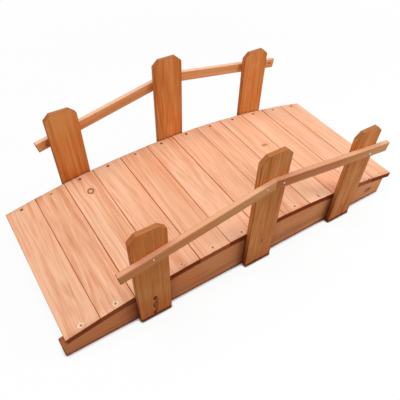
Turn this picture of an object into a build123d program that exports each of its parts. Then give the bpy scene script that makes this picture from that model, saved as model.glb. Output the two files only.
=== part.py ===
"""Small arched garden footbridge: plank deck on two bow-topped beams, with board posts and batten rails."""

import os
from math import atan2, cos, sin, sqrt

from build123d import *

# Deck: equal boards laid side by side over the arch, the arch measured on their top faces
plank_count = 12
plank_width = 122
plank_gap = 3
plank_thickness = 22
plank_setback = 1
deck_radius = 3400
crown_height = 174

# How far each plank lies out of line towards the far side, as a share of the setback
plank_slip_shares = (0, 0.3, -0.2, 0.2, -0.4, 0.4, 0, 0.2, -0.3, 0.1, 0.4, -0.5)

# Beams: one long plank on edge under each side, flat below and bowed above
beam_spread = 620
beam_thickness = 38
beam_lead = 16
beam_lag = 43

# Posts: short boards with clipped corners, standing on the ground against the beams
post_width = 121
post_thickness = 19
end_post_height = 446
middle_post_height = 527
post_clip_width = 25
post_clip_height = 22

# Where the left, middle and right posts stand, as shares of the deck's reach from the middle
near_post_shares = (-0.589, 0.005, 0.585)
far_post_shares = (-0.594, -0.007, 0.574)

# Rails: square battens across the outer faces of the posts, met over the middle post
rail_thickness = 19
rail_depth = 38
rail_butt_gap = 1
rail_reach_share = 0.743

# How far the rail tops lie under the tops of the left, middle and right posts
near_rail_drops = (91, 93, 71)
far_rail_drops = (87, 73, 56)

# Sawn edges are eased by hand
arris = 1.5
beam_arris = 2.5

near, far = -1, 1
side_names = {near: "near", far: "far"}
post_shares = {near: near_post_shares, far: far_post_shares}
rail_drops = {near: near_rail_drops, far: far_rail_drops}

plank_pitch = plank_width + plank_gap
plank_length = beam_spread - 2 * plank_setback
arch_centre_height = crown_height - deck_radius
deck_half_angle = plank_count * plank_pitch / 2 / deck_radius
deck_reach = deck_radius * sin(deck_half_angle)
bow_radius = deck_radius - plank_thickness
beam_face = beam_spread / 2
post_face = beam_face + post_thickness

os.makedirs("parts", exist_ok=True)


def side_plane(side, inner_face, thickness):
    """Upright plane for a piece lying along one side, from its inner face outwards by its thickness."""
    if side == near:
        return Plane.XZ.offset(inner_face)
    return Plane.XZ.offset(-inner_face - thickness)


def outer_edges(piece, side):
    """Outline of the face that looks away from the walkway."""
    faces = piece.faces().sort_by(Axis.Y)
    if side == near:
        return faces[0].edges()
    return faces[-1].edges()


def bow_height(run):
    """Height of the beam's bowed top at a distance along the bridge."""
    return arch_centre_height + sqrt(bow_radius**2 - run**2)


def save(piece, name):
    """Writes one finished piece under its name."""
    piece.part.label = name
    export_step(piece.part, f"parts/{name}.step")


# Beams. Both are cut alike and laid end for end, so each leads the deck at one end
# and falls short of it at the other.
for side in (near, far):
    left_reach = deck_reach + beam_lead if side == near else deck_reach - beam_lag
    right_reach = deck_reach - beam_lag if side == near else deck_reach + beam_lead
    with BuildPart() as beam:
        with BuildSketch(side_plane(side, beam_face - beam_thickness, beam_thickness)):
            with BuildLine():
                left_top = (-left_reach, bow_height(left_reach))
                right_top = (right_reach, bow_height(right_reach))
                Polyline(left_top, (-left_reach, 0), (right_reach, 0), right_top)
                ThreePointArc(right_top, (0, bow_height(0)), left_top)
            make_face()
        extrude(amount=beam_thickness)
        chamfer(outer_edges(beam, side), beam_arris)
    save(beam, f"beam_{side_names[side]}")

# Planks. Each lies flat on the bow, touching it along its middle,
# so the deck is a row of short tangents.
for index in range(plank_count):
    tilt = (index - (plank_count - 1) / 2) * plank_pitch / deck_radius
    slip = plank_slip_shares[index % len(plank_slip_shares)] * plank_setback
    top_middle = (
        deck_radius * sin(tilt),
        slip,
        arch_centre_height + deck_radius * cos(tilt),
    )
    tangent = Plane(origin=top_middle, x_dir=(cos(tilt), 0, -sin(tilt)), z_dir=(sin(tilt), 0, cos(tilt)))
    with BuildPart() as plank:
        with BuildSketch(tangent):
            Rectangle(plank_width, plank_length)
        extrude(amount=-plank_thickness)
        chamfer(plank.faces().sort_by(Axis(tangent.origin, tangent.z_dir))[-1].edges(), arris)
    save(plank, f"plank_{index + 1:02d}")

# Posts. Three stand against each beam, the middle one taller.
post_places = ("left", "middle", "right")
post_heights = (end_post_height, middle_post_height, end_post_height)
for side in (near, far):
    for place, share, height in zip(post_places, post_shares[side], post_heights):
        stand = share * deck_reach
        left, right = stand - post_width / 2, stand + post_width / 2
        shoulder = height - post_clip_height
        with BuildPart() as post:
            with BuildSketch(side_plane(side, beam_face, post_thickness)):
                with BuildLine():
                    Polyline(
                        (left, 0),
                        (right, 0),
                        (right, shoulder),
                        (right - post_clip_width, height),
                        (left + post_clip_width, height),
                        (left, shoulder),
                        close=True,
                    )
                make_face()
            extrude(amount=post_thickness)
            chamfer(outer_edges(post, side), arris)
        save(post, f"post_{side_names[side]}_{place}")

# Rails. Each falls from the middle post to an end post and runs on past it,
# cut plumb inside and square outside.
for side in (near, far):
    left_share, _, right_share = post_shares[side]
    left_drop, middle_drop, right_drop = rail_drops[side]
    middle_top = middle_post_height - middle_drop
    for place, share, drop in (("left", left_share, left_drop), ("right", right_share, right_drop)):
        end = -1 if share < 0 else 1
        run = abs(share) * deck_reach
        rise = middle_top - end_post_height + drop
        slope = atan2(rise, run)
        inside = rail_butt_gap / 2
        outside = rail_reach_share * deck_reach
        inside_top = middle_top - inside * rise / run
        outside_top = middle_top - outside * rise / run
        with BuildPart() as rail:
            with BuildSketch(side_plane(side, post_face, rail_thickness)):
                with BuildLine():
                    Polyline(
                        (end * inside, inside_top),
                        (end * outside, outside_top),
                        (end * (outside - rail_depth * sin(slope)), outside_top - rail_depth * cos(slope)),
                        (end * inside, inside_top - rail_depth / cos(slope)),
                        close=True,
                    )
                make_face()
            extrude(amount=rail_thickness)
            chamfer(outer_edges(rail, side), arris)
        save(rail, f"rail_{side_names[side]}_{place}")
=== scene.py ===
import bpy
import numpy as np
from mathutils import Euler, Matrix, Vector


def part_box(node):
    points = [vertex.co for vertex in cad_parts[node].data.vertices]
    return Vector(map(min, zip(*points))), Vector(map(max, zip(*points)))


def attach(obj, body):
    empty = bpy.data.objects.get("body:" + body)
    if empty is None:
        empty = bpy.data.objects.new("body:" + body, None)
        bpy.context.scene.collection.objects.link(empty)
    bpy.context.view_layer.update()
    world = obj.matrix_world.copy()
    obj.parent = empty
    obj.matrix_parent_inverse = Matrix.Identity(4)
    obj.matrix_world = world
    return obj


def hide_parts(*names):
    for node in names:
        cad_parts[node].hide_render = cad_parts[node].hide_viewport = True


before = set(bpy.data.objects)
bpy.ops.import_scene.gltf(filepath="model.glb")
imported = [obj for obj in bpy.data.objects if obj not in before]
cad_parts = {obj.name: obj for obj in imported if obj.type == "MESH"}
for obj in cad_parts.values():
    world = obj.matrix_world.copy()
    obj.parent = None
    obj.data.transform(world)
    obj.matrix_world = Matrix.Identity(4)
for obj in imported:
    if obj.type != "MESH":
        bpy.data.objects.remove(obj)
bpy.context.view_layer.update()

# Beams
# Each is one softwood plank on edge, sawn flat below and to a long bow above, with its
# edges eased by hand and its end grain dark with oil. The two are alike and laid end for
# end, and the deck is screwed down into their tops.
bow_radius = 3.378
bow_centre_height = -3.226
beam_arris = 0.004
beam_stations = 240
end_margin = 0.006
sawn_wood_seed = 7
rng = np.random.default_rng(sawn_wood_seed)

# The two sides of the bridge with the way that their outer faces look, and the posts on each
sides = {"near": -1, "far": 1}
post_places = ("left", "middle", "right")

# Angles at which every rounded edge has its points
edge_turn = np.linspace(0, np.pi / 2, 4)

# Shares of the half width and of the half thickness at which sections have points
plain_faces = np.concatenate([[-0.985], np.linspace(-0.9, 0.9, 7), [0.985]])
beam_faces = np.concatenate([[-0.985, -0.95], np.linspace(-0.9, 0.9, 19), [0.985]])
plain_sides = np.array([-0.9, -0.3, 0.3, 0.9])


def corners_of(node):
    """Lowest and highest corner of a node."""
    return [np.array(corner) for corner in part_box(node)]


def inner_face(node, outward):
    """Y of the face of a node that looks to the walkway."""
    lowest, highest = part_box(node)
    return highest[1] if outward < 0 else lowest[1]


def smooth(share):
    """Smooth step of a share: three times its square less twice its cube."""
    return share * share * (3 - 2 * share)


def eased_run(length, first_ease, last_ease, marks):
    """Places along a board and how far its section is drawn in at each.

    The ends follow a quarter circle of the radius ease, so a place is the ease times one
    less the cosine of the turn and the draw is the ease times one less its sine.
    """
    rise, draw = 1 - np.cos(edge_turn), 1 - np.sin(edge_turn)
    run = np.concatenate([first_ease * rise, marks, length - last_ease * rise[::-1]])
    return run, np.concatenate([first_ease * draw, np.zeros(len(marks)), last_ease * draw[::-1]])


def rounded_section(face_shares, side_shares):
    """Rectangle with rounded corners, gone round once from its upper right corner.

    Each row is a point: the share of the half width and half thickness that its arc's
    centre keeps to, and the direction in which it then leaves by one arris radius.
    """
    def stretch(across, through, out_across, out_through):
        """Rows of one stretch; single values are repeated."""
        return np.stack(np.broadcast_arrays(across, through, out_across, out_through), 1)

    def corner(across, through, quarters):
        """Rows of one corner, which leave on a quarter circle begun after some quarter turns."""
        angle = edge_turn + quarters * np.pi / 2
        return stretch(across, through, np.cos(angle), np.sin(angle))

    return np.concatenate([
        corner(1, 1, 0), stretch(face_shares[::-1], 1, 0, 1),
        corner(-1, 1, 1), stretch(-1, side_shares[::-1], -1, 0),
        corner(-1, -1, 2), stretch(face_shares, -1, 0, -1),
        corner(1, -1, 3), stretch(1, side_shares, 1, 0),
    ])


def board_grid(run, inset, low, high, thickness, arris, section):
    """Run, width and thickness of every point of a board, stations by section points.

    A point stands at the middle plus its share of the half size less one arris, and then
    one arris out along its arc; the ends are drawn in fully on the faces and a little on the
    sides. The end mask is a smooth step of the draw, and the arris mask is the sine of
    twice the angle on the corner arcs.
    """
    least_arris_share = 0.3
    side_draw_share = 0.3
    share_a, share_t, out_a, out_t = section.T
    radius = np.maximum(arris - inset, least_arris_share * arris)[:, None]
    half_a = ((high - low) / 2 - side_draw_share * inset)[:, None]
    half_t = (thickness / 2 - inset)[:, None]
    across = ((high + low) / 2)[:, None] + share_a * (half_a - radius) + out_a * radius
    through = thickness / 2 + share_t * (half_t - radius) + out_t * radius
    ends = smooth(np.clip(2 * inset / inset.max(), 0, 1))
    turned = np.abs(2 * out_a * out_t)[None, :] * (1 - ends)[:, None]
    along = np.broadcast_to(run[:, None], across.shape)
    return along, across, through, np.broadcast_to(ends[:, None], across.shape), turned


def sawn_board(name, origin, axes, grid, log, look, wear_and_shade, dents=None, figure=1.0, thirst=1.0):
    """Closed mesh of one board with its grain, wear and painted shade written on it.

    Rows of points are joined by quads, and each end gets a slightly smaller copy of its
    last row and one flat face. The grain is every point's offset from the pith of its
    log, a straight line that leans a little against the board. At each place the look is
    the depth of colour and the blush, the wear and shade is bare wood and painted highlight
    above zero and stain and painted shade below it, and the dents lower the top. The figure
    is how far the rings show, and the thirst is how much oil the end grain took.
    """
    along, across, through, ends, turned = (
        np.concatenate([rows[:1], rows, rows[-1:]]) for rows in grid
    )
    cap_share = 0.04
    for rows in (across, through):
        for end in (0, -1):
            rows[end] += cap_share * (rows[end].mean() - rows[end])
    turned[[0, -1]] = 0
    tone = np.concatenate([look(along, across), wear_and_shade(along, across, through)[..., None]], -1)
    if dents is not None:
        through = through - dents(along, across, through)
    axes = np.asarray(axes)
    local = np.stack([along, across, through], -1).reshape(-1, 3)
    points = np.asarray(origin) + local @ axes

    stations, around = along.shape
    index = np.arange(stations * around).reshape(stations, around)
    after = np.roll(index, -1, 1)
    quads = np.stack([index[:-1], after[:-1], after[1:], index[1:]], -1).reshape(-1, 4)
    caps = [index[0][::-1], index[-1]]
    if np.linalg.det(axes[[1, 2, 0]]) < 0:
        quads = quads[:, ::-1]
        caps = [cap[::-1] for cap in caps]
    mesh = bpy.data.meshes.new(name)
    mesh.from_pydata(points.tolist(), [], quads.tolist() + [cap.tolist() for cap in caps])
    mesh.shade_smooth()

    pith, lean = log
    grain = (local - pith - local[:, :1] * np.array([0, *lean]))[:, [1, 0, 2]]
    written = {
        "grain": ("FLOAT_VECTOR", "vector", grain),
        "look": ("FLOAT_VECTOR", "vector", tone),
        "figure": ("FLOAT", "value", np.full(len(points), figure)),
        "end": ("FLOAT", "value", ends * thirst),
        "arris": ("FLOAT", "value", turned),
    }
    for label, (kind, field, values) in written.items():
        layer = mesh.attributes.new(label, kind, "POINT")
        layer.data.foreach_set(field, np.ascontiguousarray(values, np.float32).ravel())
    board = bpy.data.objects.new(name, mesh)
    bpy.context.scene.collection.objects.link(board)
    return board


def fix_board(board, node, finish):
    """The board stands for its CAD node, moves with the bridge and takes its finish."""
    board.data.materials.append(finish)
    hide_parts(node)
    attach(board, "root")


def seen(red, green, blue):
    """A colour as the eye gives it, 0 to 255, turned to the shader's linear values.

    A dark share is divided by 12.92, and any other is lifted by 0.055 and raised to 2.4.
    """
    share = np.array([red, green, blue]) / 255
    linear = np.where(share <= 0.04045, share / 12.92, ((share + 0.055) / 1.055) ** 2.4)
    return (*linear.tolist(), 1.0)


def add_node(tree, kind, sockets=None, **settings):
    """New node: a socket that is given another socket is linked to it, and else set."""
    made = tree.nodes.new(kind)
    for label, value in settings.items():
        setattr(made, label, value)
    for label, value in (sockets or {}).items():
        if isinstance(value, bpy.types.NodeSocket):
            tree.links.new(value, made.inputs[label])
        else:
            made.inputs[label].default_value = value
    return made


def tree_of(values):
    """Node tree that the first socket among some values belongs to."""
    return next(value.id_data for value in values if isinstance(value, bpy.types.NodeSocket))


def maths(operation, *values):
    """One number worked out from others by a named operation."""
    made = add_node(tree_of(values), "ShaderNodeMath", dict(enumerate(values)), operation=operation)
    return made.outputs[0]


def times(first, second):
    """Product of two numbers."""
    return maths("MULTIPLY", first, second)


def times_plus(first, second, third):
    """Product of the first two numbers, plus the third."""
    return maths("MULTIPLY_ADD", first, second, third)


def lifted(share, least):
    """A share of 0 to 1 turned evenly to one of its least value to 1."""
    return times_plus(share, 1 - least, least)


def vectors(operation, *values):
    """One vector, or the number it comes to, worked out from others by a named operation."""
    made = add_node(tree_of(values), "ShaderNodeVectorMath", dict(enumerate(values)), operation=operation)
    return made.outputs["Value" if operation in ("LENGTH", "DOT_PRODUCT") else "Vector"]


def step(value, start, end):
    """Smooth step from 0 at start to 1 at end; it falls where end is the lower."""
    sockets = {"Value": value, "From Min": start, "From Max": end}
    made = add_node(tree_of([value]), "ShaderNodeMapRange", sockets, interpolation_type="SMOOTHSTEP")
    return made.outputs["Result"]


def mixed(share, first, second, blend="MIX"):
    """First colour turned towards the second by a share."""
    sockets = {0: share, 6: first, 7: second}
    tree = tree_of(sockets.values())
    return add_node(tree, "ShaderNodeMix", sockets, data_type="RGBA", blend_type=blend).outputs[2]


def tinted(colour, tint):
    """A colour multiplied by a tint."""
    return mixed(1.0, colour, tint, "MULTIPLY")


def stretched_noise(vector, waves, detail, roughness=0.5):
    """Soft noise with its own count of waves to the metre across, along and through."""
    sockets = {"Vector": vectors("MULTIPLY", vector, waves), "Scale": 1.0}
    sockets |= {"Detail": detail, "Roughness": roughness}
    return add_node(tree_of([vector]), "ShaderNodeTexNoise", sockets).outputs["Fac"]


def shader_group(name, takes, gives):
    """Empty node group with named sockets of some kinds, with its inlets and its outlet node."""
    tree = bpy.data.node_groups.new(name, "ShaderNodeTree")
    for way, kinds in (("INPUT", takes), ("OUTPUT", gives)):
        for kind, labels in kinds.items():
            for label in labels:
                tree.interface.new_socket(label, in_out=way, socket_type="NodeSocket" + kind)
    return tree, add_node(tree, "NodeGroupInput").outputs, add_node(tree, "NodeGroupOutput")


def give(outlet, results):
    """Links each result to the outlet's socket of that name."""
    for label, result in results.items():
        outlet.id_data.links.new(result, outlet.inputs[label])


# Year rings: the distance from the pith, wavered by slow and by quick noise, over the ring
# spacing. Each ring darkens slowly to its late wood, ends softly and has its own strength,
# and the rings come and go along the board.
ring_grain, given, outlet = shader_group(
    "ring_grain",
    {"Vector": ("Grain", "Patch Waves"), "Float": ("Ring Spacing", "Waver")},
    {"Float": ("Late", "Fibre", "Streak", "Patch")},
)
slow_waves = (13, 1.7, 13)
quick_waves = (110, 9, 110)
quick_share = 0.12
good_years_scale = 0.37
good_years_swing = 3.0
faintest_ring = 0.2
showing_waves = (17, 1.3, 17)
streak_waves = (42, 0.8, 42)
fibre_waves = (150, 2.4, 150)
grain = given["Grain"]
slow = maths("SUBTRACT", stretched_noise(grain, slow_waves, 2.0), 0.5)
quick = maths("SUBTRACT", stretched_noise(grain, quick_waves, 2.0), 0.5)
sway = times(times_plus(quick, quick_share, slow), given["Waver"])
from_pith = vectors("LENGTH", vectors("MULTIPLY", grain, (1, 0, 1)))
phase = maths("DIVIDE", maths("ADD", from_pith, sway), given["Ring Spacing"])
good_years = add_node(
    ring_grain, "ShaderNodeTexNoise", {"W": phase, "Scale": good_years_scale, "Detail": 1.0},
    noise_dimensions="1D",
)
phase = times_plus(good_years.outputs["Fac"], good_years_swing, phase)
part_year = maths("FRACT", phase)
late = times(step(part_year, 0.1, 0.8), step(part_year, 1.0, 0.82))
year = add_node(
    ring_grain, "ShaderNodeTexWhiteNoise", {"W": maths("FLOOR", phase)}, noise_dimensions="1D"
)
strength = lifted(maths("POWER", year.outputs["Value"], 2.0), faintest_ring)
showing = step(stretched_noise(grain, showing_waves, 1.0), 0.36, 0.64)
strength = times(strength, lifted(showing, faintest_ring))
give(outlet, {
    "Late": times(late, strength),
    "Fibre": stretched_noise(grain, fibre_waves, 6.0, 0.62),
    "Streak": step(stretched_noise(grain, streak_waves, 3.0), 0.42, 0.74),
    "Patch": stretched_noise(grain, given["Patch Waves"], 2.0),
})

# A knot: an ellipse of old branch wood with a dark, broken rim of bark. It adds itself to the
# knots before it, and pushes the grain aside as it passes.
knot_group, given, outlet = shader_group(
    "knot",
    {"Vector": ("Place", "Centre", "Reach", "Across"),
     "Float": ("Core Share", "Rim Share", "Raggedness", "Core", "Rim", "Push")},
    {"Float": ("Core", "Rim", "Push")},
)
ragged_waves = (95, 95, 95)
bark_waves = (75, 75, 75)
halo_fall = -0.2
branch_ring_turn = 16.0
branch_ring_swing = 0.2
broken_share = 0.5
push_share = 0.85
offset = vectors("SUBTRACT", given["Place"], given["Centre"])
ragged = maths("SUBTRACT", stretched_noise(given["Place"], ragged_waves, 3.0), 0.5)
reach = vectors("LENGTH", vectors("DIVIDE", offset, given["Reach"]))
reach = times_plus(ragged, given["Raggedness"], reach)
halo = maths("EXPONENT", times(maths("POWER", reach, 2.0), halo_fall))
aside = times(vectors("DOT_PRODUCT", offset, given["Across"]), halo)
branch_rings = maths("COSINE", times(reach, branch_ring_turn))
branch_rings = times_plus(branch_rings, branch_ring_swing, 1 - branch_ring_swing)
core = times(step(reach, 1.05, 0.6), branch_rings)
rim = times(step(reach, 0.4, 0.8), step(reach, 1.35, 0.85))
bark = step(stretched_noise(given["Place"], bark_waves, 3.0), 0.36, 0.6)
broken = times(maths("SUBTRACT", 1.0, bark), given["Raggedness"])
rim = times(rim, times_plus(broken, -broken_share, 1.0))
give(outlet, {
    "Core": maths("MAXIMUM", times(core, given["Core Share"]), given["Core"]),
    "Rim": maths("MAXIMUM", times(rim, given["Rim Share"]), given["Rim"]),
    "Push": times_plus(aside, -push_share, given["Push"]),
})

# Colour of planed wood: early wood darkened by late lines, streaks and fibre, blushed in patches,
# then eased edges, bare wood and painted highlight, stains and painted shade, thirsty end grain, knots.
wood_colour, given, outlet = shader_group(
    "wood_colour",
    {"Vector": ("Look",),
     "Float": ("Late", "Fibre", "Streak", "Patch", "Ring Share", "Core", "Rim", "End", "Arris",
               "Figure", "Streaks", "Patches", "Knot Share", "Edge Share"),
     "Color": ("Pale", "Deep", "Blush", "Edge", "Bare And Highlight", "Knot", "End Grain")},
    {"Color": ("Color",), "Float": ("Roughness", "Height")},
)
stain_and_shade_tint = (0.3, 0.15, 0.08, 1)
soak_tint = (0.55, 0.44, 0.36, 1)
warm_tint = (0.6, 0.42, 0.3, 1)
burn_tint = (0.5, 0.38, 0.28, 1)
plainest_streak = 0.3
fibre_depth = 2.0
planed_roughness = 0.5
fibre_roughness = 0.16
end_roughness = 0.2
late_relief = 0.4
rim_relief = -0.8
look = add_node(wood_colour, "ShaderNodeSeparateXYZ", {0: given["Look"]}).outputs
depth = times_plus(given["Late"], times(given["Ring Share"], given["Figure"]), look["X"])
streaked = times(given["Streak"], lifted(given["Ring Share"], plainest_streak))
depth = times_plus(streaked, given["Streaks"], depth)
depth = times_plus(maths("SUBTRACT", given["Fibre"], 0.5), fibre_depth, depth)
blush = times_plus(step(given["Patch"], 0.36, 0.66), given["Patches"], look["Y"])
shade = mixed(depth, given["Pale"], given["Deep"])
shade = mixed(blush, shade, tinted(shade, given["Blush"]))
shade = mixed(times(given["Arris"], given["Edge Share"]), shade, given["Edge"])
shade = mixed(look["Z"], shade, given["Bare And Highlight"])
# Below zero the colour darkens to stain and to painted shade
shade = mixed(times(look["Z"], -1.0), shade, tinted(shade, stain_and_shade_tint))
thirsty = times_plus(given["Fibre"], 0.5, times(given["Late"], 0.5))
soaked = mixed(thirsty, given["End Grain"], tinted(given["End Grain"], soak_tint))
shade = mixed(step(given["End"], 0.0, 0.2), shade, tinted(given["Deep"], warm_tint))
shade = mixed(given["End"], shade, soaked)
shade = mixed(times(given["Core"], given["Knot Share"]), shade, given["Knot"])
shade = mixed(times(given["Rim"], given["Knot Share"]), shade, tinted(given["Knot"], burn_tint))
rough = times_plus(given["Fibre"], fibre_roughness, planed_roughness)
relief = times_plus(given["Late"], late_relief, given["Fibre"])
give(outlet, {
    "Color": shade,
    "Roughness": times_plus(given["End"], end_roughness, rough),
    "Height": times_plus(given["Rim"], rim_relief, relief),
})


def written(tree, label, field):
    """What the mesh has written under a label."""
    return add_node(tree, "ShaderNodeAttribute", attribute_name=label).outputs[field]


def wood_finish(name, colours, shares, rings, knots, across):
    """Oiled wood: knots bend the grain, the grain gives the rings, and they give the colour.

    A knot is its centre, its reach along X, Y and Z, how far its core and its rim show, and
    how ragged it is. Across is the way in which the knots push the grain.
    """
    pore_depth = 0.0004
    pore_strength = 0.6
    oil_shine = 0.12
    finish = bpy.data.materials.new(name)
    finish.use_nodes = True
    tree = finish.node_tree
    shader = tree.nodes["Principled BSDF"]
    place = add_node(tree, "ShaderNodeTexCoord").outputs["Object"]
    found = {"Core": 0.0, "Rim": 0.0, "Push": 0.0}
    for centre, reach, core_share, rim_share, raggedness in knots:
        sockets = {"Place": place, "Centre": centre, "Reach": reach, "Across": across, **found}
        sockets |= {"Core Share": core_share, "Rim Share": rim_share, "Raggedness": raggedness}
        knot = add_node(tree, "ShaderNodeGroup", sockets, node_tree=knot_group)
        found = {label: knot.outputs[label] for label in found}
    push = add_node(tree, "ShaderNodeCombineXYZ", {"X": found.pop("Push")}).outputs[0]
    grain = vectors("ADD", written(tree, "grain", "Vector"), push)
    grown = add_node(tree, "ShaderNodeGroup", {"Grain": grain, **rings}, node_tree=ring_grain)
    sockets = {label: grown.outputs[label] for label in ("Late", "Fibre", "Streak", "Patch")}
    sockets |= {"Look": written(tree, "look", "Vector"), "Ring Share": written(tree, "figure", "Fac")}
    sockets |= {"End": written(tree, "end", "Fac"), "Arris": written(tree, "arris", "Fac")}
    sockets |= {**found, **colours, **shares}
    colour = add_node(tree, "ShaderNodeGroup", sockets, node_tree=wood_colour).outputs
    pores = {"Height": colour["Height"], "Distance": pore_depth, "Strength": pore_strength}
    give(shader, {
        "Base Color": colour["Color"],
        "Roughness": colour["Roughness"],
        "Normal": add_node(tree, "ShaderNodeBump", pores).outputs["Normal"],
    })
    shader.inputs["Specular IOR Level"].default_value = oil_shine
    return finish


beam_colours = {
    "Pale": seen(230, 152, 98), "Deep": seen(178, 102, 56), "Blush": (0.97, 0.78, 0.67, 1),
    "Edge": seen(176, 108, 70), "Bare And Highlight": seen(230, 180, 140), "Knot": seen(142, 76, 14),
    "End Grain": seen(150, 88, 54),
}
beam_shares = {"Figure": 0.4, "Streaks": 0.34, "Patches": 0.8, "Knot Share": 1.0, "Edge Share": 0.5}
beam_rings = {"Ring Spacing": 0.007, "Waver": 0.03, "Patch Waves": (12, 5, 12)}
beam_knots = [((0.616, -0.310, 0.053), (0.021, 0.06, 0.0145), 1.0, 0.2, 0.9)]
beam_finish = wood_finish("beam_wood", beam_colours, beam_shares, beam_rings, beam_knots, (0, 0, 1))

# Painted shade on the beam's top edge, under the planks
under_deck_shade_share = 0.6
# Painted shadow of the posts on the beam, darkest beside each post and dying away faster on its right
post_shadow_share = 0.75
post_shadow_reach = 0.028
right_shadow_fall = 1.5
# The beam grows faintly darker towards the bottom
low_darkening_share = 0.2
low_darkening_height = 0.03
# Painted contact shade along the ground at the foot of the wood
contact_shade_share = 1.5
contact_shade_height = 0.015


def painted_contact_shade(height):
    """Painted contact shade: a dark line along the ground, which fades evenly up to its height."""
    return contact_shade_share * np.clip(1 - height / contact_shade_height, 0, 1)


def beam_shade_and_darkening(start, post_spans):
    """Painted shade and darkening of a beam that starts at one X and has posts on some spans of X.

    Painted shade lies on the top edge under the planks, the posts' painted shadow dies away
    beside them as an exponential, the wood darkens faintly and evenly towards the ground, and
    a painted contact shade lies along the ground.
    """
    def wear_and_shade(along, across, through):
        """The painted shade and darkening at each place, all of it below zero."""
        top = across.max(axis=1, keepdims=True)
        under_deck_shade = np.clip((across - top + beam_arris) / beam_arris, 0, 1)
        place = along + start
        beside = [
            np.maximum.reduce([left - place, right_shadow_fall * (place - right), 0 * place])
            for left, right in post_spans
        ]
        post_shadow = np.exp(-np.min(beside, axis=0) / post_shadow_reach)
        low_darkening = np.clip(1 - across / low_darkening_height, 0, 1)
        return -under_deck_shade_share * under_deck_shade - post_shadow_share * post_shadow - low_darkening_share * low_darkening - painted_contact_shade(across)

    return wear_and_shade


# Depth of colour at four heights up the beam, for its left half, its right half and its right
# end, and the runs over which one goes over into the next
band_heights = (0.02, 0.05, 0.08, 0.11)
band_depths = ((0.05, 0.05, 0.0, -0.25), (0.1, 0.45, -0.1, -0.5), (-0.2, 0.0, -0.5, -0.5))
band_runs = ((0.6, 0.9), (1.18, 1.3))
even_blush = -0.1
right_blush = -0.45
left_blush = 0.75
blush_end = 0.7


def beam_look(along, across):
    """Depth of colour that follows the heights of the heart and sap wood and goes evenly from
    each stretch of the beam to the next, and a blush that falls away from the left end as a
    smooth step."""
    depth, *others = (np.interp(across, band_heights, depths) for depths in band_depths)
    for other, run in zip(others, band_runs):
        depth = depth + np.interp(along, run, (0, 1)) * (other - depth)
    blush = even_blush + left_blush * smooth(np.clip((blush_end - along) / blush_end, 0, 1))
    blush = blush + right_blush * np.interp(along, band_runs[1], (0, 1))
    return np.stack([depth, blush], -1)


beam_grain_shifts = (3, 9)
beam_pith_side = 0.02
beam_pith_depth = 0.07
beam_pith_lean = (0.012, 0.02)
for side, outward in sides.items():
    node = f"beam_{side}"
    lowest, highest = corners_of(node)
    length, thickness = (highest - lowest)[:2]
    post_spans = [[corner[0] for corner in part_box(f"post_{side}_{place}")] for place in post_places]
    marks = np.linspace(end_margin, length - end_margin, beam_stations)
    run, inset = eased_run(length, beam_arris, beam_arris, marks)
    bow = bow_centre_height + np.sqrt(bow_radius**2 - (run + lowest[0]) ** 2)
    section = rounded_section(beam_faces, plain_sides)
    log = (rng.uniform(*beam_grain_shifts), beam_pith_side, -beam_pith_depth), beam_pith_lean
    beam = sawn_board(
        f"bow_{node}", (lowest[0], inner_face(node, outward), 0),
        ((1, 0, 0), (0, 0, 1), (0, outward, 0)),
        board_grid(run, inset, 0 * run, bow, thickness, beam_arris, section),
        log, beam_look, beam_shade_and_darkening(lowest[0], post_spans),
    )
    fix_board(beam, node, beam_finish)

# Deck planks
# Twelve planed softwood boards, oiled to a pale salmon, lie flat across the beams side by
# side. Their edges are eased, and a countersunk screw goes through each end.
plank_count = 12
plank_pitch = 0.125
plank_thickness = 0.022
plank_arris = 0.0018
plank_end_margin = 0.005
plain_run_margin = 0.04
plain_run_stations = 25
deck_radius = bow_radius + plank_thickness
plank_tilts = (np.arange(plank_count) - (plank_count - 1) / 2) * plank_pitch / deck_radius
deck_ways = np.stack([np.cos(plank_tilts), 0 * plank_tilts, -np.sin(plank_tilts)], 1)
deck_normals = np.stack([np.sin(plank_tilts), 0 * plank_tilts, np.cos(plank_tilts)], 1)

# How far each joint is open at its near and its far end, from before the first plank to after
# the last, as shares of the widest joint
joint_width = 0.003
joint_shares = np.array([
    (0.5, 0.12, 0.4, 0.12, 0.5, 0.16, 0.6, 0.05, 0.65, 0.45, 0.75, 0.6, 0.5),
    (0.5, 0.15, 0.12, 0.06, 0.5, 0.3, 0.7, 0.05, 0.6, 0.45, 0.9, 0.7, 0.5),
])

# A plank has close rows of points round its screws, where its top is dished
screw_line = 0.290
screw_steps = np.linspace(-0.009, 0.009, 19)
screw_face = screw_steps / (plank_pitch / 2)
plank_faces = np.concatenate([
    [-0.985], np.linspace(-0.9, -0.25, 4), screw_face, np.linspace(0.25, 0.9, 4), [0.985],
])
dish_radii = (0.0085, 0.0066)
dish_depth = 0.0014
dish_rim = 0.0008
shank_radius = 0.0046
shank_depth = 0.005
bare_shares = (1.0, 1.0, 0.6, 0.35, 0.4, 0.4, 0.35, 0.3, 0.0, 0.3, 0.3, 0.25)
far_dish_darkenings = (1.0, 0.2, 1.0, 1.0, 0.6, 1.0, 1.0, 0.7, 1.0, 0.8, 0.7, 0.9)

deck_colours = {
    "Pale": seen(255, 202, 166), "Deep": seen(222, 144, 98), "Blush": (0.99, 0.9, 0.86, 1),
    "Edge": seen(190, 92, 22), "Bare And Highlight": seen(255, 236, 200), "Knot": seen(172, 88, 34),
    "End Grain": seen(142, 56, 4),
}
deck_shares = {"Figure": 0.8, "Streaks": 0.5, "Patches": 0.8, "Knot Share": 1.0, "Edge Share": 0.95}
deck_rings = {"Ring Spacing": 0.0085, "Waver": 0.035, "Patch Waves": (9, 2.3, 9)}
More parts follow.
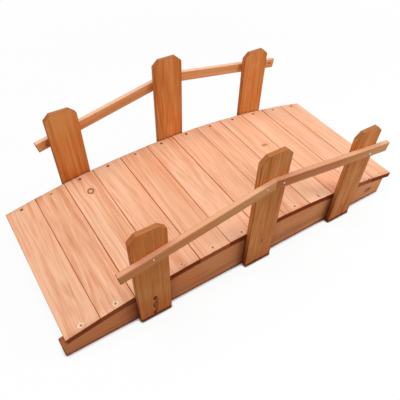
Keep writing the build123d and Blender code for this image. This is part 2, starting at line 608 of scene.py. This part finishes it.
# The third is a dark streak at a screw, and the last a check in an end
deck_knots = [
    ((-0.427, 0.204, 0.148), (0.0125, 0.0145, 0.06), 0.22, 1.0, 0.45),
    ((0.325, 0.066, 0.159), (0.015, 0.008, 0.06), 0.8, 0.3, 1.0),
    ((0.3112, -0.2900, 0.160), (0.0032, 0.0170, 0.06), 0.8, 0.0, 0.6),
    ((0.597, -0.309, 0.1145), (0.007, 0.006, 0.010), 1.0, 1.0, 0.6),
]
deck_finish = wood_finish("deck_wood", deck_colours, deck_shares, deck_rings, deck_knots, (1, 0, 0))

# Each plank's look: how deep its colour lies at the near and the far end, how much blush it has,
# how far its rings show and how much oil its end grain took
plank_looks = (
    (0.0, 0.0, 0.45, 0.85, 0.8), (0.14, 0.2, 0.1, 0.75, 0.55), (0.0, 0.12, 0.0, 0.8, 0.5),
    (0.14, 0.1, 0.2, 0.35, 1.0), (0.1, 0.28, 0.3, 0.3, 0.35), (-0.08, 0.3, 0.1, 0.4, 1.0),
    # The ninth is paler at its near end, a painted light that evens out the shadow of the near right post
    (0.12, 0.12, 0.2, 0.45, 1.0), (0.08, 0.12, 0.4, 0.9, 1.0), (-0.15, 0.1, 0.05, 0.5, 1.0),
    (0.2, -0.05, 0.1, 0.4, 0.9), (0.02, 0.02, 0.2, 0.5, 0.3), (0.1, 0.0, 0.1, 0.5, 1.0),
)
# How far the pith lies to one side and under the top face, and how it leans along the plank
grain_shifts = (3, 90)
plank_logs = (
    (0.005, 0.075, 0.03, 0.05), (-0.03, 0.09, 0.02, -0.045), (0.06, 0.11, 0.0, 0.01),
    (0.0, 0.13, -0.03, 0.03), (-0.05, 0.07, 0.02, 0.02), (0.01, 0.06, 0.0, 0.06),
    (-0.02, 0.08, 0.04, -0.05), (0.04, 0.1, 0.0, -0.03), (0.0, 0.07, 0.01, 0.03),
    (-0.05, 0.12, 0.0, 0.02), (0.02, 0.09, -0.02, 0.04), (-0.01, 0.1, 0.0, -0.04),
)
# How much oil soaked into the top at each plank's near and far end
soak_shares = (
    (0.4, 0.3), (0.0, 0.25), (0.2, 0.1), (0.3, 0.3), (0.12, 0.3), (0.4, 0.35),
    (0.2, 0.1), (0.3, 0.15), (0.0, 0.2), (0.2, 0.1), (0.4, 0.15), (0.4, 0.1),
)
soak_reach = 0.012
sawn_side_stain = 0.25
plank_side_from = 0.995
plank_top_from = 0.9 * plank_thickness


def run_look(length, first, last):
    """Look that changes evenly along a board from its first end to its last."""
    first, last = np.array(first), np.array(last)
    return lambda along, across: first + np.clip(along / length, 0, 1)[..., None] * (last - first)


def screw_reach(screws, along, across, through):
    """Distance to the nearest screw on the top face, and far away elsewhere."""
    reach = np.min([np.hypot(along - screw, across) for screw in screws], axis=0)
    return np.where(through > plank_top_from, reach, 1.0)


def on_sides(across, side_from):
    """Whether a place is on a sawn side, with more than a share of the greatest half width."""
    return np.abs(across) > side_from * np.abs(across).max(axis=1, keepdims=True)


def countersinks(length, screws):
    """Dents of a plank: a dish round each screw that deepens evenly to its shank, and the
    shank's hole."""
    def dents(along, across, through):
        """How far the top lies below its flat at each place."""
        reach = screw_reach(screws, along, across, through)
        radius = np.where(along < length / 2, *dish_radii)
        dish = dish_depth * np.clip((radius - reach) / (radius - shank_radius), 0, 1)
        return np.where(reach < shank_radius, shank_depth, dish)

    return dents


def plank_wear(length, screws, bare_share, far_dish_darkening, soaks):
    """Wear of a plank: bare wood in the near dish and a darkening in the far one, both fading at
    the rim, oil that gathered on the sawn sides, and oil that soaked in and dies away from
    both ends as an exponential."""
    def wear_and_shade(along, across, through):
        """The wear at each place, bare above zero and stained below it."""
        near_half = along < length / 2
        reach = screw_reach(screws, along, across, through)
        ring = np.clip((np.where(near_half, *dish_radii) + dish_rim - reach) / (2 * dish_rim), 0, 1)
        sawn = on_sides(across, plank_side_from)
        from_end = np.minimum(along, length - along)
        soaked = np.where(near_half, *soaks) * np.exp(-from_end / soak_reach)
        marked = ring * np.where(near_half, bare_share, -far_dish_darkening)
        return np.where(ring > 0, marked, -soaked) - sawn_side_stain * sawn

    return wear_and_shade


for number in range(plank_count):
    node = f"plank_{number + 1:02d}"
    lowest, highest = corners_of(node)
    length = highest[1] - lowest[1]
    underside = bow_radius * deck_normals[number] + np.array([0, lowest[1], bow_centre_height])
    screws = np.array([-screw_line, screw_line]) - lowest[1]
    marks = np.concatenate([
        [plank_end_margin], screws[0] + screw_steps,
        np.linspace(plain_run_margin, length - plain_run_margin, plain_run_stations),
        screws[1] + screw_steps, [length - plank_end_margin],
    ])
    run, inset = eased_run(length, plank_arris, plank_arris, marks)
    reaches = (plank_pitch - joint_width * joint_shares[:, number:number + 2]) / 2
    low = -np.interp(run, (0, length), reaches[:, 0])
    high = np.interp(run, (0, length), reaches[:, 1])
    section = rounded_section(plank_faces, plain_sides)
    near_depth, far_depth, blush, figure, thirst = plank_looks[number]
    pith_side, pith_depth, *lean = plank_logs[number]
    log = (rng.uniform(*grain_shifts), pith_side, plank_thickness - pith_depth), lean
    plank = sawn_board(
        f"deck_{node}", underside, ((0, 1, 0), deck_ways[number], deck_normals[number]),
        board_grid(run, inset, low, high, plank_thickness, plank_arris, section),
        log, run_look(length, (near_depth, blush), (far_depth, blush)),
        plank_wear(length, screws, bare_shares[number], far_dish_darkenings[number], soak_shares[number]),
        countersinks(length, screws), figure, thirst,
    )
    fix_board(plank, node, deck_finish)

# Posts
# Six short planed boards with clipped upper corners stand on the ground and are screwed to
# the beams. They took more oil than the deck and are a deeper, redder brown.
post_arris = 0.002
post_clip_width = 0.025
post_clip_height = 0.022
shoulder_softness = 0.001
clip_thirst = 0.8
clip_side_from = 0.99
post_side_from = 0.98
foot_rows = np.linspace(0.003, 0.012, 6)
post_stations = 120
shoulder_rows = np.linspace(-0.003, 0.003, 7)
clip_stations = 6
post_row_gap = 0.004

post_colours = {
    "Pale": seen(236, 160, 93), "Deep": seen(180, 100, 40), "Blush": (1.0, 0.68, 0.42, 1),
    "Edge": seen(124, 62, 26), "Bare And Highlight": seen(232, 164, 96), "Knot": seen(134, 48, 9),
    "End Grain": seen(198, 126, 76),
}
post_shares = {"Figure": 0.35, "Streaks": 0.4, "Patches": 0.5, "Knot Share": 1.4, "Edge Share": 0.8}
post_rings = {"Ring Spacing": 0.0065, "Waver": 0.02, "Patch Waves": (22, 12, 22)}
# A row of knots low on the near left post, and one small knot on each of the other near posts
post_knots = [
    ((-0.4370, -0.32, 0.108), (0.0070, 0.06, 0.0095), 1.0, 0.8, 1.0),
    ((-0.4345, -0.32, 0.089), (0.0080, 0.06, 0.0140), 0.35, 0.0, 1.4),
    ((-0.4365, -0.32, 0.068), (0.0090, 0.06, 0.0200), 0.45, 0.55, 1.3),
    ((-0.4445, -0.32, 0.066), (0.0040, 0.06, 0.0140), 0.6, 0.0, 1.2),
    ((-0.4440, -0.32, 0.020), (0.0055, 0.06, 0.0120), 1.0, 0.6, 1.1),
    ((-0.4375, -0.32, 0.036), (0.0050, 0.06, 0.0090), 0.7, 0.2, 1.2),
    ((0.007, -0.32, 0.117), (0.003, 0.06, 0.013), 0.5, 0.5, 0.8),
    ((0.431, -0.32, 0.072), (0.003, 0.06, 0.008), 0.5, 0.5, 0.8),
]
post_finish = wood_finish("post_wood", post_colours, post_shares, post_rings, post_knots, (1, 0, 0))

foot_height = 0.16
# The foot darkens towards the ground; on the sawn sides this is painted shade of the deck and beam
side_shade_climb = 1.4
foot_darkening_share = 0.2
side_shade_share = 0.9
# Painted shade in the crevice where a post's inner face meets the deck
crevice_shade_reach = 0.004
crevice_shade_share = 0.6
fade_shares = {"near": (0.2, 0.1, 0.1), "far": (0.8, 0.1, 0.2)}
# Each post's look: how deep its colour lies at the foot and at the top, and how much blush
# it has at the foot, in the middle and at the top
post_looks = {
    "near": ((0.15, 0.3, 0.9, 0.05, 0.6), (0.25, 0.25, 0.5, 0.05, 0.0), (0.25, 0.25, 0.5, 0.0, 0.0)),
    "far": ((0.8, 0.1, 0.7, 0.2, -0.1), (0.35, 0.3, 0.1, 0.0, 0.0), (0.45, 0.35, 0.05, 0.0, 0.0)),
}
blush_heights = (0.05, 0.3, 0.65, 0.85)


def post_wear_and_shade(size, middle, fade_share):
    """Wear and painted shade of a post of one size that stands at one X.

    The foot darkens towards the ground as a smooth step; on the sawn sides this is painted
    shade of the deck and beam, stronger and higher than on the faces. A painted contact shade
    lies along the ground, painted shade lies above the deck and dies away upwards as an
    exponential, and the sun has paled the middle, by the square of the height and by one less
    the square of the width.
    """
    width, thickness, height = size

    def wear_and_shade(along, across, through):
        """The wear and shade at each place, paled above zero and darkened below it."""
        sawn = on_sides(across, post_side_from)
        rise = smooth(np.clip(along / foot_height / np.where(sawn, side_shade_climb, 1), 0, 1))
        darkening = np.where(sawn, side_shade_share, foot_darkening_share) * (1 - rise)
        deck_top = bow_centre_height + np.sqrt(deck_radius**2 - (middle + across) ** 2)
        crevice_shade = np.exp(-np.maximum(along - deck_top, 0) / crevice_shade_reach) * (through < thickness / 4)
        sunned = np.clip(along / height, 0, 1) ** 2 * (1 - (2 * across / width) ** 2) * (1 - sawn)
        return fade_share * sunned - darkening - crevice_shade_share * crevice_shade - painted_contact_shade(along)

    return wear_and_shade


def post_look(height, foot_depth, top_depth, *blushes):
    """Look of a post: depth of colour that runs evenly from foot to top, and blush that runs
    from the foot to about a third of the height, and from about two thirds to the top."""
    def look(along, across):
        """Depth of colour and blush at each place."""
        rise = np.clip(along / height, 0, 1)
        blush = np.interp(rise, blush_heights, np.take(blushes, (0, 1, 1, 2)))
        return np.stack([np.interp(rise, (0, 1), (foot_depth, top_depth)), blush], -1)

    return look


post_pith_depths = (0.05, 0.1)
post_pith_leans = (0.02, 0.05)
pith_side_reach = 0.03


def random_log(depths, leans):
    """Pith and lean of a log, drawn evenly between limits."""
    shift = rng.uniform(*grain_shifts)
    pith_side = rng.uniform(-pith_side_reach, pith_side_reach)
    pith_depth = rng.uniform(*depths)
    return (shift, pith_side, -pith_depth), [rng.uniform(-lean, lean) for lean in leans]


for side, outward in sides.items():
    for place, shades, fade_share in zip(post_places, post_looks[side], fade_shares[side]):
        node = f"post_{side}_{place}"
        lowest, highest = corners_of(node)
        width, thickness, height = highest - lowest
        middle = (lowest[0] + highest[0]) / 2
        shoulder = height - post_clip_height
        marks = np.concatenate([
            foot_rows,
            np.linspace(foot_rows[-1] + post_row_gap, shoulder - end_margin, post_stations),
            shoulder + shoulder_rows,
            np.linspace(shoulder + end_margin, height - post_row_gap, clip_stations),
        ])
        run, inset = eased_run(height, post_arris, post_arris, marks)
        clipped = (run - shoulder) * post_clip_width / post_clip_height
        half = width / 2 - (clipped + np.hypot(clipped, shoulder_softness)) / 2
        section = rounded_section(plain_faces, plain_sides)
        grid = board_grid(run, inset, -half, half, thickness, post_arris, section)
        along, across, through, ends, turned = grid
        clip_cut = np.abs(across) > clip_side_from * half[:, None]
        clip_cut &= along > shoulder + shoulder_softness
        post = sawn_board(
            f"clipped_{node}", (middle, inner_face(node, outward), 0),
            ((0, 0, 1), (1, 0, 0), (0, outward, 0)),
            (along, across, through, np.maximum(ends, clip_thirst * clip_cut), turned),
            random_log(post_pith_depths, post_pith_leans), post_look(height, *shades),
            post_wear_and_shade(highest - lowest, middle, fade_share),
        )
        fix_board(post, node, post_finish)

# Rails
# Four planed battens lie across the outer faces of the posts, two on each side. They meet in a
# plumb cut over the middle post, and their lower ends are cut square.
rail_depth = 0.038
rail_arris = 0.003
rail_stations = 30
butt_arris = 0.0003
butt_closing = 0.0004
rail_pith_depths = (0.03, 0.08)
rail_pith_leans = (0.01, 0.01)

rail_colours = {
    "Pale": seen(232, 168, 114), "Deep": seen(190, 120, 72), "Blush": (1.0, 0.81, 0.71, 1),
    "Edge": seen(224, 156, 106), "Bare And Highlight": seen(255, 218, 194), "Knot": seen(138, 60, 8),
    "End Grain": seen(190, 124, 80),
}
rail_shares = {"Figure": 0.3, "Streaks": 0.35, "Patches": 0.8, "Knot Share": 1.0, "Edge Share": 0.5}
rail_rings = {"Ring Spacing": 0.005, "Waver": 0.02, "Patch Waves": (9, 4, 9)}
rail_knots = [
    # The first, a dark patch beside the far left post, is a knot that stands partly for the post's
    # painted shadow
    ((-0.506, 0.329, 0.324), (0.014, 0.02, 0.019), 0.8, 0.0, 1.3),
    ((0.5266, 0.329, 0.359), (0.006, 0.02, 0.007), 0.9, 0.0, 0.8),
]
rail_finish = wood_finish("rail_wood", rail_colours, rail_shares, rail_rings, rail_knots, (0, 0, 1))

rail_top_below = 0.1 * rail_arris
# Painted highlight on the rails' upper faces, stronger on the far side
top_highlight_shares = {"near": 0.3, "far": 0.6}
# Each rail's depth of colour and blush, at the middle post and at its lower end
rail_looks = {
    "near": (((-0.2, 0.0), (0.25, 0.65)), ((0.65, 1.1), (0.0, -0.2))),
    "far": (((0.28, -0.2), (-0.2, -0.2)), ((0.0, -0.2), (0.0, -0.2))),
}
rail_ways = {"left": -1, "right": 1}
rail_lines = {}


def node_points(node):
    """All corner points of a node's mesh."""
    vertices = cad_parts[node].data.vertices
    points = np.empty(3 * len(vertices), np.float32)
    vertices.foreach_get("co", points)
    return points.reshape(-1, 3).astype(float)


def painted_top_highlight(share):
    """Painted highlight of a rail: its upper face is paled by a share, standing for the light that falls
    on it from above.
    """
    return lambda along, across, through: share * (across < rail_top_below)


for side, outward in sides.items():
    for (place, way), end_looks in zip(rail_ways.items(), rail_looks[side]):
        node = f"rail_{side}_{place}"
        lowest, highest = corners_of(node)
        thickness = highest[1] - lowest[1]
        corners = node_points(node)
        inner_top = corners[np.argmax(corners[:, 2])] - np.array([way * butt_closing, 0, 0])
        outer_top = corners[np.argmax(way * corners[:, 0])]
        reach, fall = way * (outer_top - inner_top)[0], (inner_top - outer_top)[2]
        length, slope = np.hypot(reach, fall), np.arctan2(fall, reach)
        rail_lines[side, place] = inner_top, slope
        marks = np.linspace(end_margin, length - end_margin, rail_stations)
        run, inset = eased_run(length, butt_arris, rail_arris, marks)
        section = rounded_section(plain_faces, plain_sides)
        grid = board_grid(run, inset, 0 * run, rail_depth + 0 * run, thickness, rail_arris, section)
        along, across, *rest = grid
        plumb = along + across * np.tan(slope) * (1 - along / length)
        down_rail = (way * np.cos(slope), 0, -np.sin(slope))
        across_rail = (-way * np.sin(slope), 0, -np.cos(slope))
        rail = sawn_board(
            f"sloping_{node}", (inner_top[0], inner_face(node, outward), inner_top[2]),
            (down_rail, across_rail, (0, outward, 0)), (plumb, across, *rest),
            random_log(rail_pith_depths, rail_pith_leans), run_look(length, *end_looks),
            painted_top_highlight(top_highlight_shares[side]),
        )
        fix_board(rail, node, rail_finish)

# Deck screws
# Countersunk steel screws, passivated yellow, one through each end of each plank into the beam.
# Those on the far side were driven deeper and sit in dark little pits.
head_spokes = 48
head_rings = np.concatenate([np.linspace(0.05, 0.62, 12), [0.75, 0.88, 0.96, 1.0, 0.94]])
head_edge = 0.0005
recess_depth = 0.0018
recess_reach_share = 0.6
recess_arm = 0.0007
recess_edge = 0.0003
deck_head_radius = 0.0044
deck_head_dome = 0.0004
deck_head_skirt = 0.0025
deck_sinks = {"near": 0.0012, "far": 0.0026}


def screw_head(head_radius, dome, skirt, turn):
    """One head as rings by spokes, in its own frame with its rim at height zero.

    The height is a low dome less the cross recess, which is deep where the point lies in one of
    two crossed bars; the last two rings turn down the rim.
    """
    spokes = np.linspace(0, 2 * np.pi, head_spokes, endpoint=False)
    ring, spoke = np.meshgrid(head_rings * head_radius, spokes, indexing="ij")
    along, across = ring * np.cos(spoke - turn), ring * np.sin(spoke - turn)
    recess_reach = recess_reach_share * head_radius

    def within(place, limit):
        """One inside a limit on both sides of the middle, falling evenly to zero at it."""
        return np.clip((limit - np.abs(place)) / recess_edge, 0, 1)

    cross = np.maximum(
        within(along, recess_reach) * within(across, recess_arm),
        within(across, recess_reach) * within(along, recess_arm),
    )
    height = dome * (1 - (ring / head_radius) ** 2)
    height = height - recess_depth * cross * (1 - 0.5 * ring / recess_reach)
    height[-1] = -skirt
    height[-2] = -head_edge
    return np.stack([ring * np.cos(spoke), ring * np.sin(spoke), height], -1)


def screw_row(name, heads, places, normals, acrosses, finish):
    """All heads of one row in one mesh: each is turned to its own surface and set on its place."""
    rings, spokes = heads[0].shape[:2]
    points, faces = [], []
    index = np.arange(rings * spokes).reshape(rings, spokes)
    after = np.roll(index, -1, 1)
    quads = np.stack([index[:-1], index[1:], after[1:], after[:-1]], -1).reshape(-1, 4)
    for count, (head, place, normal, across) in enumerate(zip(heads, places, normals, acrosses)):
        axes = np.array([across, np.cross(normal, across), normal])
        points.append(np.asarray(place) + head.reshape(-1, 3) @ axes)
        start = count * rings * spokes
        caps = [(index[0] + start).tolist(), (index[-1][::-1] + start).tolist()]
        faces += (quads + start).tolist() + caps
    mesh = bpy.data.meshes.new(name)
    mesh.from_pydata(np.concatenate(points).tolist(), [], faces)
    mesh.shade_smooth()
    row = bpy.data.objects.new(name, mesh)
    bpy.context.scene.collection.objects.link(row)
    row.data.materials.append(finish)
    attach(row, "root")


def plated_finish(name, bright, stained, metal):
    """Plated steel with stains: fine noise turns the plating towards the stain and dulls it."""
    stain_waves = (420, 420, 420)
    bright_roughness = 0.32
    stain_roughness = 0.3
    finish = bpy.data.materials.new(name)
    finish.use_nodes = True
    tree = finish.node_tree
    shader = tree.nodes["Principled BSDF"]
    place = add_node(tree, "ShaderNodeTexCoord").outputs["Object"]
    darkening = step(stretched_noise(place, stain_waves, 3.0), 0.45, 0.75)
    give(shader, {
        "Base Color": mixed(darkening, bright, stained),
        "Roughness": times_plus(darkening, stain_roughness, bright_roughness),
    })
    shader.inputs["Metallic"].default_value = metal
    return finish


yellow_zinc = plated_finish("yellow_zinc", seen(176, 126, 76), seen(106, 66, 36), metal=0.55)
for side, outward in sides.items():
    row_line = np.array([0, outward * screw_line, bow_centre_height])
    places = deck_normals * (deck_radius - deck_sinks[side]) + row_line
    heads = [
        screw_head(deck_head_radius, deck_head_dome, deck_head_skirt, turn)
        for turn in rng.uniform(0, np.pi / 2, plank_count)
    ]
    screw_row(f"deck_screws_{side}", heads, places, deck_normals, deck_ways, yellow_zinc)

# Rail screws
# Bright zinc pan heads hold the rails to the posts: one in each rail end over the middle post
# and one over each end post.
pan_height = 0.0018
pan_skirt = 0.001
pan_lift = 0.0006
pan_radii = (0.0033, 0.0042, 0.0042, 0.0050)
bright_zinc = plated_finish("bright_zinc", seen(208, 192, 178), seen(150, 130, 112), metal=0.7)
# Which rail, how far along the bridge, and how far above the rail's middle line
rail_screw_spots = (
    ("left", -0.438, 0.005), ("left", -0.035, 0.004), ("right", 0.032, 0.0), ("right", 0.449, -0.005),
)
for side, outward in sides.items():
    outer_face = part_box(f"rail_{side}_left")[0 if outward < 0 else 1][1]
    places = []
    for place, x, stray in rail_screw_spots:
        inner_top, slope = rail_lines[side, place]
        top_line = inner_top[2] - abs(x - inner_top[0]) * np.tan(slope)
        middle_line = top_line - rail_depth / 2 / np.cos(slope)
        places.append((x, outer_face + outward * pan_lift, middle_line + stray))
    normals = np.tile([0.0, outward, 0.0], (len(places), 1))
    acrosses = np.tile([1.0, 0.0, 0.0], (len(places), 1))
    turns = rng.uniform(0, np.pi / 2, len(places))
    heads = [screw_head(radius, pan_height, pan_skirt, turn) for radius, turn in zip(pan_radii, turns)]
    screw_row(f"rail_screws_{side}", heads, places, normals, acrosses, bright_zinc)

# Floor, light and camera
# A plain white studio: one broad lamp overhead, a soft key from the right in front and a pale
# floor that keeps a faint shadow, with a painted contact shadow, a dark line, along the feet of the
# posts.
floor_reach = 30.0
floor_drop = 0.0005
floor_corners = [(-floor_reach, -floor_reach, 0), (floor_reach, -floor_reach, 0),
                 (floor_reach, floor_reach, 0), (-floor_reach, floor_reach, 0)]
floor_mesh = bpy.data.meshes.new("studio_floor")
floor_mesh.from_pydata(floor_corners, [], [(0, 1, 2, 3)])
floor = bpy.data.objects.new("studio_floor", floor_mesh)
floor.location.z = -floor_drop
bpy.context.scene.collection.objects.link(floor)


def shown_rays(tree):
    """One for rays that show the floor or sky as it is: camera, mirror and glass rays."""
    rays = add_node(tree, "ShaderNodeLightPath").outputs
    shown = maths("MAXIMUM", rays["Is Camera Ray"], rays["Is Glossy Ray"])
    return maths("MAXIMUM", shown, rays["Is Transmission Ray"])


# The paper is lit like any other surface, so it keeps the shadow; most of its white comes
# from a glow that only shows, except in the dark under the deck, where the paper that shows
# is also a darker grey, a painted shade.
deck_shade_end = (0.70, 0.74)
deck_shade_side = (0.28, 0.30)
contact_shadow_side = (0.326, 0.329)
contact_shadow_reach = 0.012
white = (1, 1, 1, 1)
shaded_paper = (0.36, 0.36, 0.36, 1)
painted_contact_shadow_colour = (0.1, 0.06, 0.03, 1)
nearest_glow = 0.9
floor_finish = bpy.data.materials.new("studio_floor")
floor_finish.use_nodes = True
tree = floor_finish.node_tree
tree.nodes.clear()
floor_place = add_node(tree, "ShaderNodeTexCoord").outputs["Object"]
spot = add_node(tree, "ShaderNodeSeparateXYZ", {0: vectors("ABSOLUTE", floor_place)}).outputs
open_floor = maths("MAXIMUM", step(spot["X"], *deck_shade_end), step(spot["Y"], *deck_shade_side))
shown = shown_rays(tree)
shown_open = times(shown, open_floor)
closed_in = add_node(tree, "ShaderNodeAmbientOcclusion", {"Distance": contact_shadow_reach}, samples=8)
near_foot = closed_in.outputs["AO"]
# Painted contact shadow: the paper turns dark brown where it is closed in just outside the posts' feet
painted_contact_shadow = times(step(near_foot, 0.88, 0.6), step(spot["Y"], *contact_shadow_side))
paper_colour = mixed(shown_open, shaded_paper, white)
paper_colour = mixed(times(shown, painted_contact_shadow), paper_colour, painted_contact_shadow_colour)
paper = add_node(tree, "ShaderNodeBsdfDiffuse", {"Color": paper_colour})
glow = add_node(tree, "ShaderNodeEmission", {"Color": white, "Strength": 1.0})
whiter = lifted(step(vectors("LENGTH", floor_place), 1.0, 3.0), nearest_glow)
whiter = times(whiter, step(near_foot, 0.5, 0.95))
whiter = times(whiter, maths("SUBTRACT", 1.0, painted_contact_shadow))
lit_paper = {0: times(shown_open, whiter), 1: paper.outputs[0], 2: glow.outputs[0]}
surface = add_node(tree, "ShaderNodeMixShader", lit_paper).outputs[0]
add_node(tree, "ShaderNodeOutputMaterial", {"Surface": surface})
floor_mesh.materials.append(floor_finish)

sky_strength = 0.2
world = bpy.data.worlds.new("studio")
bpy.context.scene.world = world
world.use_nodes = True
tree = world.node_tree
tree.nodes.clear()
sky = add_node(tree, "ShaderNodeBackground", {"Color": white, "Strength": sky_strength})
backdrop = add_node(tree, "ShaderNodeBackground", {"Color": white, "Strength": 1.0})
around = {0: shown_rays(tree), 1: sky.outputs[0], 2: backdrop.outputs[0]}
surface = add_node(tree, "ShaderNodeMixShader", around).outputs[0]
add_node(tree, "ShaderNodeOutputWorld", {"Surface": surface})


def soft_lamp(name, place, target, size, power):
    """Square lamp at a place, turned to shine on a target."""
    lamp = bpy.data.lights.new(name, "AREA")
    lamp.size = size
    lamp.energy = power
    holder = bpy.data.objects.new(name, lamp)
    bpy.context.scene.collection.objects.link(holder)
    holder.location = place
    holder.rotation_euler = (Vector(place) - Vector(target)).to_track_quat("Z", "Y").to_euler()


soft_lamp("overhead", place=(-1.0, 0.1, 4.2), target=(0, 0, 0.1), size=4.0, power=148)
soft_lamp("key", place=(3.0, -1.9, 1.7), target=(0, 0, 0.2), size=1.6, power=66)

camera_place = (-0.7321, -1.0093, 1.3200)
camera_tilt = 39.8900
camera_roll = -1.7109
camera_heading = -33.1287
camera_data = bpy.data.cameras.new("camera")
camera_data.sensor_width = 36.0
camera_data.lens = 38.071
camera_data.shift_x = -0.01056
camera_data.shift_y = 0.08266
camera = bpy.data.objects.new("camera", camera_data)
bpy.context.scene.collection.objects.link(camera)
camera_turn = Euler(np.radians([camera_tilt, camera_roll, camera_heading]).tolist())
camera.matrix_world = Matrix.LocRotScale(Vector(camera_place), camera_turn, None)
bpy.context.scene.camera = camera
bpy.context.scene.view_settings.view_transform = "Standard"
